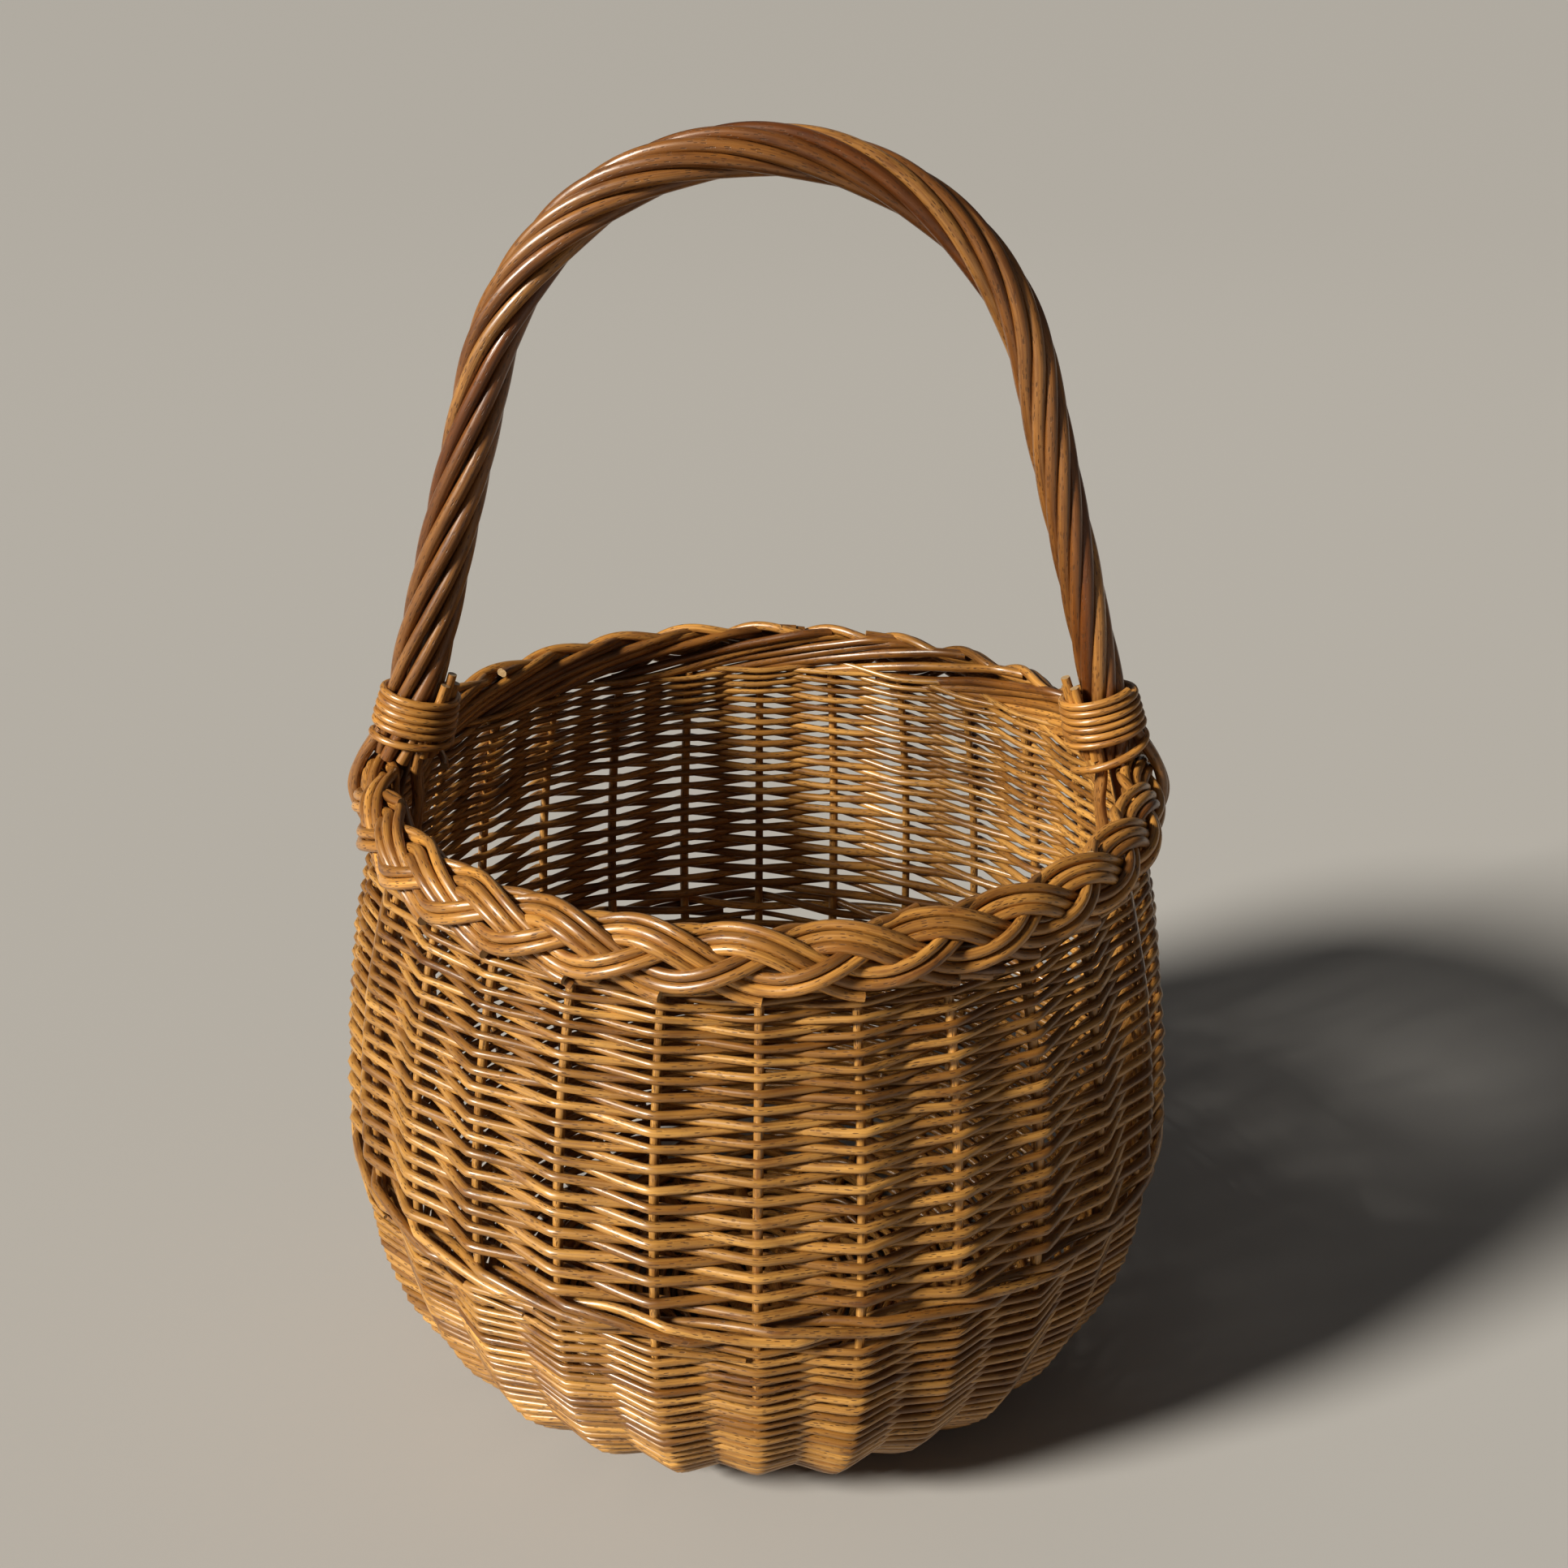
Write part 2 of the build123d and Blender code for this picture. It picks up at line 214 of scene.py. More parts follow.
def willow(name, pale, deep, streak):
    """Varnished willow: long streaks, small knots and specks, and a tone of its own for each rod.

    The noises' scales are per metre: along the rod, then across it twice.
    """
    material = bpy.data.materials.new(name)
    material.use_nodes = True
    nodes, links = material.node_tree.nodes, material.node_tree.links
    shader = nodes["Principled BSDF"]

    def node(kind, **settings):
        made = nodes.new(kind)
        for key, value in settings.items():
            setattr(made, key, value)
        return made

    def attribute(key, output):
        return node("ShaderNodeAttribute", attribute_name=key).outputs[output]

    def scaled(scale):
        mapping = node("ShaderNodeMapping")
        links.new(attribute("grain", "Vector"), mapping.inputs["Vector"])
        mapping.inputs["Scale"].default_value = scale
        return mapping.outputs["Vector"]

    def noise(scale, detail=3.0, rough=0.55):
        made = node("ShaderNodeTexNoise")
        made.inputs["Scale"].default_value = 1.0
        made.inputs["Detail"].default_value = detail
        made.inputs["Roughness"].default_value = rough
        links.new(scaled(scale), made.inputs["Vector"])
        return made.outputs["Fac"]

    def ramp(source, *stops):
        made = node("ShaderNodeValToRGB")
        while len(made.color_ramp.elements) < len(stops):
            made.color_ramp.elements.new(0.5)
        for element, (place, colour) in zip(made.color_ramp.elements, stops):
            element.position = place
            element.color = (*colour, 1)
        links.new(source, made.inputs["Fac"])
        return made.outputs["Color"]

    def grey(source, *stops):
        return ramp(source, *[(place, (value,) * 3) for place, value in stops])

    def mix(first, second, factor, blend="MIX"):
        made = node("ShaderNodeMix", data_type="RGBA", blend_type=blend)
        for value, socket in ((factor, 0), (first, 6), (second, 7)):
            if isinstance(value, (tuple, float)):
                made.inputs[socket].default_value = value if socket == 0 else (*value, 1)
            else:
                links.new(value, made.inputs[socket])
        return made.outputs[2]

    middle = tuple((a + b) / 2 for a, b in zip(pale, deep))
    palest = tuple(min(1, channel * 1.12) for channel in pale)
    rod_colour = ramp(attribute("tone", "Fac"), (0.0, deep), (0.42, middle), (0.75, pale), (1.0, palest))
    streaks = noise((28, 1500, 1500), 4.0, 0.6)
    patches = noise((55, 260, 260), 3.0)
    knots = node("ShaderNodeTexVoronoi")
    links.new(scaled((48, 260, 260)), knots.inputs["Vector"])
    knot = grey(knots.outputs["Distance"], (KNOT_SIZE, 1.0), (KNOT_SIZE + 0.08, 0.0))
    specks = grey(noise((520, 1100, 1100), 2.0), (0.66, 0.0), (0.72, 1.0))
    none = (0.0, 0.0, 0.0)
    colour = mix(rod_colour, streak, grey(streaks, (0.42, 0.0), (0.72, 0.62)))
    colour = mix(colour, (1.4, 1.42, 1.42), grey(patches, (0.5, 0.0), (0.72, 0.8)), "MULTIPLY")
    colour = mix(colour, (0.5, 0.38, 0.27), grey(patches, (0.28, 0.85), (0.47, 0.0)), "MULTIPLY")
    colour = mix(colour, (0.1, 0.045, 0.018), mix(none, knot, 0.8))
    colour = mix(colour, (0.2, 0.1, 0.045), mix(none, specks, 0.4))
    cut = mix((0.55, 0.4, 0.22), (0.3, 0.18, 0.08), noise((300, 900, 900)))
    colour = mix(colour, cut, attribute("pith", "Fac"))
    links.new(colour, shader.inputs["Base Color"])
    links.new(grey(patches, (0.3, 0.5), (0.7, 0.3)), shader.inputs["Roughness"])
    shader.inputs["Coat Weight"].default_value = VARNISH
    shader.inputs["Coat Roughness"].default_value = VARNISH_ROUGHNESS
    shader.inputs["Specular IOR Level"].default_value = 0.5
    ridge = node("ShaderNodeBump")
    ridge.inputs["Strength"].default_value = 0.35
    ridge.inputs["Distance"].default_value = 0.00035
    links.new(streaks, ridge.inputs["Height"])
    bud = node("ShaderNodeBump")
    bud.inputs["Strength"].default_value = 0.5
    bud.inputs["Distance"].default_value = 0.0005
    links.new(knot, bud.inputs["Height"])
    links.new(ridge.outputs["Normal"], bud.inputs["Normal"])
    links.new(bud.outputs["Normal"], shader.inputs["Normal"])
    return material


# the colours of pale rods, deep rods and streaks
WEAVER = willow("weaver_willow", (0.51, 0.275, 0.076), (0.185, 0.076, 0.013), (0.16, 0.055, 0.009))
STAKE = willow("stake_willow", (0.5, 0.27, 0.078), (0.26, 0.105, 0.022), (0.18, 0.07, 0.014))
STICK = willow("stick_willow", (0.42, 0.2, 0.05), (0.22, 0.085, 0.018), (0.16, 0.06, 0.012))
BORDER = willow("border_willow", (0.5, 0.25, 0.062), (0.15, 0.054, 0.009), (0.12, 0.036, 0.006))
HANDLE = willow("handle_willow", (0.36, 0.175, 0.05), (0.14, 0.045, 0.009), (0.11, 0.03, 0.005))
LASHING = willow("lashing_willow", (0.5, 0.245, 0.06), (0.24, 0.09, 0.016), (0.16, 0.06, 0.01))


# ---------------------------------------------------------------- stakes and rows of weaving

stake_angles = np.arange(STAKE_COUNT + 1) * STAKE_PITCH
HANDLE_CROWDING = math.radians(2.6)              # a foot of the handle crowds the stake beside it
for crowded in (0, STAKE_COUNT // 2, STAKE_COUNT):
    stake_angles[crowded] += HANDLE_CROWDING


def stake_place(angle):
    """Where an angle lies among the stakes, in stakes."""
    wrapped = np.mod(angle - HANDLE_CROWDING, 2 * math.pi) + HANDLE_CROWDING
    return np.interp(wrapped, stake_angles, np.arange(STAKE_COUNT + 1))


def places_round(angle):
    """The places of angles that run once round the basket, without a step where the count starts again."""
    return np.unwrap(stake_place(angle), period=STAKE_COUNT)


def drift(angle, length):
    """How far the rows have slipped up or down the stakes there."""
    value = 0
    # waves round the basket, where each starts, and its size in mm
    for wave, turn, size in ((2, 0.3, 0.9), (3, 1.9, 0.7), (5, 4.0, 0.5), (9, 2.2, 0.35), (17, 0.7, 0.3)):
        value = value + size * np.sin(wave * angle + turn + length * (40 + 13 * wave))
    return value * MM


# Each stake stands a little in or out of the round, in mm: by turns, and by chance
STAND_BY_TURNS, STAND_BY_CHANCE = 0.75, 0.5
stake_stand = np.array([rng.normal(0, STAND_BY_CHANCE) + STAND_BY_TURNS * (-1) ** index
                        for index in range(STAKE_COUNT)])
stake_stand = np.append(stake_stand, stake_stand[0]) * MM


def stand(place, length):
    """How far out of the round the wall is there: most in the middle of a band, and flat between stakes."""
    free = np.abs(np.sin(math.pi * (np.asarray(length) - WALE_MIDDLE) / (RIM_LENGTH - WALE_MIDDLE))) ** 0.7
    chord = WAIST_RADIUS * (1 - np.cos(STAKE_PITCH / 2)) * (1 - (2 * np.mod(place, 1) - 1) ** 2)
    return free * np.interp(np.mod(place, STAKE_COUNT), np.arange(STAKE_COUNT + 1), stake_stand) - chord


SAMPLES = 14                                     # along a rod, from one stake to the next
CORNER = 0.985                                   # how sharply a rod turns at a stake


def woven_rows(rods, low, high, count, thin, thick, first):
    """Randing: every row passes outside one stake and inside the next. Higher rows have thinner rods."""
    steps = STAKE_COUNT * SAMPLES
    angle = np.linspace(0, 2 * math.pi, steps + 1)
    place = places_round(angle)
    share = (np.arange(count) + 0.5) / count
    weights = thick + (thin - thick) * share
    spread = np.cumsum(weights) - weights / 2
    levels = low + (high - low) * spread / weights.sum()
    for row in range(count):
        radius = weights[row] / 2 * rng.uniform(0.92, 1.08)
        swing = np.cos(math.pi * (place + row + first))
        wave = np.arcsin(CORNER * swing) / math.asin(CORNER)
        uneven = wander(steps, 0.22 * MM, 16)
        uneven = np.append(uneven, uneven[0])
        length = levels[row] + drift(angle, levels[row]) + uneven
        thickness = wander(steps, 0.06, 7)
        thickness = radius * (1 + np.append(thickness, thickness[0]))
        offset = wave * (STAKE_RADIUS + radius) + stand(place, length)
        path = on_wall(length, angle, offset)
        path[:, 2] = np.maximum(path[:, 2], thickness)
        distance, height = wall(length + MM)
        under, below = wall(length - MM)
        up = unit(round_axis(distance - under, angle, height - below))
        rods.add(path, thickness, up=up, ends=False)


FIRST_ROW = 9 * MM
WALE_LOW = WAIST_LENGTH - 10.5 * MM
WALE_HIGH = WAIST_LENGTH + 1.5 * MM
UPSETT_LENGTH = HEEL_RADIUS * math.acos(1 - (UPSETT_HEIGHT - BASE_LEVEL) / HEEL_RADIUS)

LOWER_SPLIT = UPSETT_LENGTH + 0.54 * (WALE_LOW - UPSETT_LENGTH)
UPPER_SPLIT = WALE_HIGH + 0.54 * (RIM_LENGTH - WALE_HIGH)

# piece, CAD rings, from, to, rows, thinnest and thickest rod in mm, and which side the first row starts on
BANDS = (
    ("upsett_rows", "upsett", FIRST_ROW, UPSETT_LENGTH, 10, 3.7, 4.2, 0),
    ("lower_rows_below", "lower_weave", UPSETT_LENGTH, LOWER_SPLIT, 18, 3.1, 3.5, 0),
    ("lower_rows_above", "lower_weave", LOWER_SPLIT, WALE_LOW, 18, 2.75, 3.05, 0),
    ("upper_rows_below", "upper_weave", WALE_HIGH, UPPER_SPLIT, 17, 3.4, 3.9, 1),
    ("upper_rows_above", "upper_weave", UPPER_SPLIT, RIM_LENGTH + 8 * MM, 23, 2.5, 3.3, 0),
)
for piece_name, rings, low, high, count, thin, thick, first in BANDS:
    rows = Rods()
    woven_rows(rows, low, high, count, thin * MM, thick * MM, first)
    rows.make(piece_name, WEAVER, "weaver_willow", [f"{rings}_outer", f"{rings}_inner"])

# The waist wale: three rods, each outside two stakes and inside the third
wale = Rods(12)
WALE_RADIUS = 1.85 * MM
WALE_RISE = 2.5 * MM                             # of each rod above and below the wale's middle
WALE_TIPS = 14                                   # ends of weaving rods, laid in along the wale
TIP_STEPS = 30
wale_angle = np.linspace(0, 2 * math.pi, STAKE_COUNT * SAMPLES + 1)
wale_place = places_round(wale_angle)
for strand in range(3):
    turn = np.mod(wale_place + strand, 3) / 3
    out = np.cos(2 * math.pi * (turn - 0.25))
    offset = np.clip(out * 1.6 + 0.55, -1, 1) * (STAKE_RADIUS + WALE_RADIUS)
    rise = np.cos(2 * math.pi * (turn - 0.02)) * WALE_RISE
    middle = (WALE_LOW + WALE_HIGH) / 2
    wale.add(on_wall(middle + rise + drift(wale_angle, middle), wale_angle, offset), WALE_RADIUS,
             up=(0, 0, 1), ends=False)
for _ in range(WALE_TIPS):
    start = rng.uniform(0, 2 * math.pi)
    reach = rng.uniform(0.16, 0.34)
    angle = np.linspace(start, start + reach, TIP_STEPS)
    level = WALE_LOW + rng.uniform(-7, 1) * MM + np.linspace(0, rng.uniform(-4, 5), TIP_STEPS) * MM
    over_rows = STAKE_RADIUS + 2.6 * MM + stand(stake_place(angle), level)
    wale.add(on_wall(level, angle, over_rows), np.linspace(1.5, 0.8, TIP_STEPS) * MM)
wale.make("waist_wale_rods", WEAVER, "weaver_willow", ["waist_wale_outer", "waist_wale_inner"])

# The stakes: a straight butt in the base, then up the wall, thinner towards the top
stakes = Rods(10)
STAKE_STEPS, BUTT_STEPS = 120, 7
BUTT_REACH = 0.8                                 # how near the axis a butt ends, as a share of the base
for index in range(STAKE_COUNT):
    length = np.linspace(-1 * MM, RIM_LENGTH + 5 * MM, STAKE_STEPS)
    lean = wander(STAKE_STEPS, 0.0012, 3, closed=False)
    radius = STAKE_RADIUS * rng.uniform(0.9, 1.1) * np.linspace(1.12, 0.95, STAKE_STEPS)
    path = on_wall(length, stake_angles[index] + lean)
    butt = np.linspace(path[0] * (BUTT_REACH, BUTT_REACH, 1), path[0], BUTT_STEPS + 1)[:-1]
    stakes.add(np.concatenate([butt, path]), np.concatenate([np.full(BUTT_STEPS, radius[0]), radius]),
               tone=rng.uniform(0.55, 1))
stakes.make("stake_rods", STAKE, "stake_willow", [f"stake_{i + 1:02d}" for i in range(STAKE_COUNT)])

# ---------------------------------------------------------------- base

BASE_RADIUS = HEEL_CENTRE[0]
SLATH_TURN = STAKE_PITCH / 2                     # how far the cross is turned from the x axis
END_PITCH = 2 * STAKE_PITCH                      # between the sticks' ends, with two stakes to each
PIERCED, THREADED = 3, 4                         # sticks each way
PIERCED_RADIUS, THREADED_RADIUS = 3.6 * MM, 2.3 * MM
PIERCED_SPACING, THREADED_SPACING = 7.7 * MM, 4.8 * MM

sticks = Rods(12)


def fan(count, spacing, bend, radius, turn):
    """One arm of the cross: sticks side by side in the middle, fanned out to the edge."""
    for index in range(count):
        place = index - (count - 1) / 2
        side = place * spacing
        out = BASE_RADIUS + 2 * MM
        end = (out * math.cos(place * END_PITCH), out * math.sin(place * END_PITCH))
        near = (0.5 * (bend + end[0]), 0.5 * (side + end[1]) + side * 0.12)
        half = [(0, side), (bend * 0.6, side), (bend, side * 1.05), near, end]
        line = [(-x, y) for x, y in reversed(half[1:])] + half
        flat = smooth(np.array([(x, y, 0) for x, y in line]), 90)
        spin = np.array([[math.cos(turn), -math.sin(turn), 0], [math.sin(turn), math.cos(turn), 0], [0, 0, 1]])
        sticks.add(flat @ spin.T + (0, 0, BASE_LEVEL), radius, tone=rng.uniform(0.4, 0.9))


fan(THREADED, THREADED_SPACING, PIERCED * PIERCED_SPACING / 2 + 3 * MM, THREADED_RADIUS, SLATH_TURN)
fan(PIERCED, PIERCED_SPACING, THREADED * THREADED_SPACING / 2 + 3 * MM, PIERCED_RADIUS, SLATH_TURN + math.pi / 2)
sticks.make("base_sticks", STICK, "stick_willow",
            [f"threaded_stick_{i + 1}" for i in range(THREADED)] + [f"pierced_stick_{i + 1}" for i in range(PIERCED)])

rounds = Rods(8)
ROUND_RADIUS = 1.5 * MM
ROUND_STEPS = 420
around = np.linspace(0, 2 * math.pi, ROUND_STEPS + 1)


def lay_round(distance, level, radius):
    """One rod round the base, kept off the floor."""
    rounds.add(round_axis(distance, around, np.maximum(level, radius)), radius, up=(0, 0, 1), ends=False)


# three rods that bind the cross, over one arm and under the next
for index in range(3):
    square = 1 + 0.06 * np.cos(4 * (around - SLATH_TURN))
    lay_round((15.5 + 3.0 * index) * MM * square,
              BASE_LEVEL + np.cos(2 * (around - SLATH_TURN)) * 4.6 * MM * (-1) ** index, ROUND_RADIUS)

# rounds over one stick's end and under the next
ring_distance = 25 * MM
row = 0
while ring_distance < BASE_RADIUS + 1.5 * MM:
    swing = np.cos(math.pi * ((around - SLATH_TURN) / END_PITCH + row))
    wave = np.arcsin(0.9 * swing) / math.asin(0.9)
    uneven = wander(ROUND_STEPS, 0.25 * MM, 9)
    lay_round(ring_distance + np.append(uneven, uneven[0]), BASE_LEVEL + wave * (THREADED_RADIUS + 1.3 * MM),
              ROUND_RADIUS)
    ring_distance += 2.9 * MM
    row += 1

# the rim that the basket stands on: three rods twisted round each other
FOOT_RADIUS = 1.85 * MM
for strand in range(3):
    turn = 2 * math.pi * (around / STAKE_PITCH + strand) / 3
    level = np.maximum(BASE_LEVEL - 1.6 * MM + np.cos(turn) * 1.3 * MM, 1.9 * MM)
    lay_round(BASE_RADIUS + 7 * MM + np.sin(turn) * 3.0 * MM, level, FOOT_RADIUS)
rounds.make("base_rounds", WEAVER, "weaver_willow", ["base_weave"])

# ---------------------------------------------------------------- border

STRAND_PERIOD = 3                                # stakes from one loop of a strand to its next
BORDER_ROD = 2.05 * MM
BORDER_MIDDLE = (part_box("border_lower_strand")[1].x - 7.4 * MM, RIM_HEIGHT + 15.5 * MM)
ACROSS_UP = (-0.53, 0.848)                       # up the band, towards the inside
ACROSS_OUT = (0.848, 0.53)                       # out of the band's face
BAND_HALF = 9.4 * MM
BAND_CROWN = 3.0 * MM
STRAND_SWING = 8.4 * MM                          # from the band's middle to a strand's turn
STRAND_LIFT = 2.35 * MM                          # over a crossing, and under the next
STRAND_START = 0.35                              # of a stake, from the first stake to a strand's top
STRAND_STEPS = 22                                # from one stake to the next


def on_band(angle, across, out):
    """A point of the border, from its place across the band and its height off its middle layer."""
    lift = BAND_CROWN * (1 - (across / BAND_HALF) ** 2) + out
    distance = BORDER_MIDDLE[0] + across * ACROSS_UP[0] + lift * ACROSS_OUT[0]
    height = BORDER_MIDDLE[1] + across * ACROSS_UP[1] + lift * ACROSS_OUT[1]
    return round_axis(distance, angle, height)


def strand_line(turn, shift):
    """One rod of a plaited strand, from its turn and its place beside the strand's middle."""
    run = STRAND_PERIOD * STAKE_PITCH * BORDER_MIDDLE[0] / (2 * math.pi)
    slope = -STRAND_SWING * np.sin(turn)
    tilt = np.hypot(run, slope)
    across = STRAND_SWING * np.cos(turn) + shift * run / tilt
    forward = -shift * slope / tilt
    return across, forward / BORDER_MIDDLE[0], STRAND_LIFT * np.sin(2 * turn)


border_strands = []
for strand in range(3):
    rods = Rods(12)
    steps = STAKE_COUNT * STRAND_STEPS
    angle = np.linspace(0, 2 * math.pi, steps + 1)
    turn = 2 * math.pi * (angle / STAKE_PITCH + strand + STRAND_START) / STRAND_PERIOD
    lean = 0.5 + 0.5 * np.sin(turn)
    # a new rod takes over wherever the strand dives under a crossing at its inner edge
    loop = np.floor(turn / (2 * math.pi) - 7 / 8).astype(int)
    starts = [0, *(np.flatnonzero(np.diff(loop)) + 1), steps]
    for shift in (2.0, -2.0):
        uneven = wander(steps + 1, 0.3 * MM, 14, closed=False) * np.sin(angle / 2)
        across, forward, over = strand_line(turn, shift * MM + 1.5 * MM * lean + uneven)
        path = on_band(angle + forward, across, over)
        thickness = BORDER_ROD * rng.uniform(0.96, 1.04)
        for begin, finish in zip(starts[:-1], starts[1:]):
            rods.add(path[begin:finish + 1], thickness, tone=rng.uniform(0.4, 1))
    # a third rod joins the two for part of each loop
    for stake in range(STAKE_COUNT):
        if (stake + strand) % STRAND_PERIOD:
            continue
        turn = np.linspace(-0.30 * math.pi, 0.93 * math.pi, 40)
        angle = (turn / (2 * math.pi) * STRAND_PERIOD - STRAND_START + stake) * STAKE_PITCH
        lean = 0.5 + 0.5 * np.sin(turn)
        across, forward, over = strand_line(turn, -5.7 * MM + 1.6 * MM * lean)
        rods.add(on_band(angle + forward, across, over - 0.2 * MM), BORDER_ROD * rng.uniform(0.9, 1.05))
    border_strands.append(rods)

# stakes laid down along the inside of the rim, each going up and over its edge
inner = Rods(12)
LAID_BACK = np.array([0.35, 0.0, -0.6, -1.3, -2.0, -2.6, -3.0])         # in stakes
LAID_ACROSS = np.array([-9.5, -7.0, -3.5, 1.5, 7.2, 10.6, 8.2])         # in mm, as on the band
LAID_OUT = np.array([-7.5, -9.5, -9.6, -8.6, -6.2, -2.0, 0.4])
for stake in range(STAKE_COUNT):
    for second in range(2):
        if second and rng.uniform() < 0.45:
            continue
        angle = (LAID_BACK - 0.22 * second) * STAKE_PITCH + stake_angles[stake]
        across = LAID_ACROSS - 2.2 * second + rng.normal(0, 0.35, len(LAID_BACK))
        out = LAID_OUT - 0.6 * second
        line = smooth(np.stack([angle, across * MM, out * MM], -1), 44)
        inner.add(on_band(*line.T), BORDER_ROD * rng.uniform(0.85, 1.02))

# ends cut off short along the top edge and below the border: how many, where on the band in mm, and how long
for count, across_range, out_range, size in ((9, (9.5, 12.0), (-1.0, 1.5), 7),
                                             (7, (-13.5, -11.5), (-3.0, -1.0), 9)):
    for _ in range(count):
        middle = rng.uniform(0, 2 * math.pi)
        across = rng.uniform(*across_range)
        reach = size * MM / BORDER_MIDDLE[0] * rng.uniform(0.7, 1.2)
        ups = rng.uniform(0.8, 2.4) * (1 if across > 0 else -1)
        ends = np.stack([np.array([-reach, 0, reach]) + middle,
                         np.array([across - ups, across - 0.2 * ups, across + ups]) * MM,
                         np.full(3, rng.uniform(*out_range)) * MM], -1)
        inner.add(on_band(*smooth(ends, 10).T), 1.7 * MM)

border_strands[0].make("border_plait_1", BORDER, "border_willow", ["border_lower_strand"])
border_strands[1].make("border_plait_2", BORDER, "border_willow", ["border_upper_strand"])
border_strands[2].make("border_plait_3", BORDER, "border_willow", ["border_inner_strand"])
inner.make("border_inner_rods", BORDER, "border_willow", ["border_inner_strand"])

# ---------------------------------------------------------------- handle

# The handle's line: a round crown, and two straight legs that meet the line of the side at its height
BOW_RADIUS = 101 * MM
CORE_RADIUS = (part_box("handle_core")[1].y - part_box("handle_core")[0].y) / 2
BOW_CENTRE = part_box("handle_core")[1].z - CORE_RADIUS - BOW_RADIUS
SHOULDER_CENTRE = WAIST_RADIUS - SHOULDER_RADIUS
LEG_ANGLE = (math.atan2(BOW_CENTRE - WAIST_HEIGHT, -SHOULDER_CENTRE)
             - math.acos((SHOULDER_RADIUS - BOW_RADIUS) / math.hypot(SHOULDER_CENTRE, BOW_CENTRE - WAIST_HEIGHT)))
LEG_FOOT = (SHOULDER_CENTRE + SHOULDER_RADIUS * math.cos(LEG_ANGLE),
            WAIST_HEIGHT + SHOULDER_RADIUS * math.sin(LEG_ANGLE))
LEG_TOP = (BOW_RADIUS * math.cos(LEG_ANGLE), BOW_CENTRE + BOW_RADIUS * math.sin(LEG_ANGLE))
LEG_LENGTH = math.dist(LEG_FOOT, LEG_TOP)
CROWN_LENGTH = BOW_RADIUS * (math.pi - 2 * LEG_ANGLE)
HANDLE_LENGTH = 2 * LEG_LENGTH + CROWN_LENGTH


def bow(distance):
    """Points of the handle's line and its outward directions, from the left leg's foot."""
    from_top = np.asarray(distance, float) - HANDLE_LENGTH / 2
    side = np.sign(from_top)
    far = np.abs(from_top)
    on_crown = far < CROWN_LENGTH / 2
    angle = np.where(on_crown, math.pi / 2 - far / BOW_RADIUS, LEG_ANGLE)
    down = np.maximum(far - CROWN_LENGTH / 2, 0)
    x = BOW_RADIUS * np.cos(angle) + down * math.sin(LEG_ANGLE)
    z = BOW_CENTRE + BOW_RADIUS * np.sin(angle) - down * math.cos(LEG_ANGLE)
    zero = np.zeros_like(x)
    return np.stack([side * x, zero, z], -1), np.stack([side * np.cos(angle), zero, np.sin(angle)], -1)


ROPING_COUNT = len([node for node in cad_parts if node.startswith("roping_rod_")])
ROPING_PITCH = 180 * MM                          # along the handle, for one turn of a rod
ROPING_ROD = 2.6 * MM
ROPING_FOOT = 28 * MM                            # from a leg's foot to the rods' ends
ROPING_STEPS = 300
# how far the rods lie from the handle's line: places along it as shares of its length, and mm
ORBIT_PLACES = (0, 0.08, 0.2, 0.3, 0.5, 0.8, 0.93, 1)
ORBITS = (8.3, 8.2, 7.6, 6.9, 6.5, 5.8, 5.8, 7.0)

roping = Rods(14)
for index in range(ROPING_COUNT):
    distance = np.linspace(ROPING_FOOT, HANDLE_LENGTH - ROPING_FOOT, ROPING_STEPS)
    point, outward = bow(distance)
    orbit = np.interp(distance / HANDLE_LENGTH, ORBIT_PLACES, ORBITS) * MM
    orbit = orbit + wander(ROPING_STEPS, 0.28 * MM, 5, closed=False)
    turn = 2 * math.pi * (distance / ROPING_PITCH + index / ROPING_COUNT)
    turn = turn + wander(ROPING_STEPS, 0.07, 4, closed=False)
    across = outward * np.cos(turn)[:, None] + np.array([0, -1, 0]) * np.sin(turn)[:, None]
    radius = ROPING_ROD * np.linspace(*rng.permutation([1.06, 0.92]), ROPING_STEPS) * rng.uniform(0.96, 1.04)
    radius = radius * (1 + wander(ROPING_STEPS, 0.025, 20, closed=False))
    roping.add(point + across * orbit[:, None], radius)
roping.make("roping_rods", HANDLE, "handle_willow", [f"roping_rod_{i + 1}" for i in range(ROPING_COUNT)])

# The core, sharpened where it goes down inside the border and the side
core = Rods(12)
BARE_STEPS, SUNK_STEPS = 200, 39
bare_points, _ = bow(np.linspace(0, HANDLE_LENGTH, BARE_STEPS))
low_angle = math.asin((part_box("handle_core")[0].z - WAIST_HEIGHT) / SHOULDER_RADIUS)
sunk = np.linspace(low_angle, LEG_ANGLE, SUNK_STEPS + 1)[:-1]
sunk_points = np.stack([SHOULDER_CENTRE + SHOULDER_RADIUS * np.cos(sunk), sunk * 0,
                        WAIST_HEIGHT + SHOULDER_RADIUS * np.sin(sunk)], -1)
taper = np.linspace(0.4, 1, SUNK_STEPS)
core.add(np.concatenate([sunk_points * (-1, 1, 1), bare_points, sunk_points[::-1]]),
         CORE_RADIUS * np.concatenate([taper, np.ones(BARE_STEPS), taper[::-1]]))
core.make("handle_core_rod", HANDLE, "handle_willow", ["handle_core"])


# ---------------------------------------------------------------- feet of the handle

LASHING_PLACE = 36 * MM                          # from a leg's foot to its lashing
LASHING_TURNS = 6.4
LASHING_ROD = 1.6 * MM
TAIL_STEPS = 40
BORDER_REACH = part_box("border_lower_strand")[1].x
INSIDE = wall(RIM_LENGTH, -9 * MM)[0]            # just inside the woven wall, at the rim


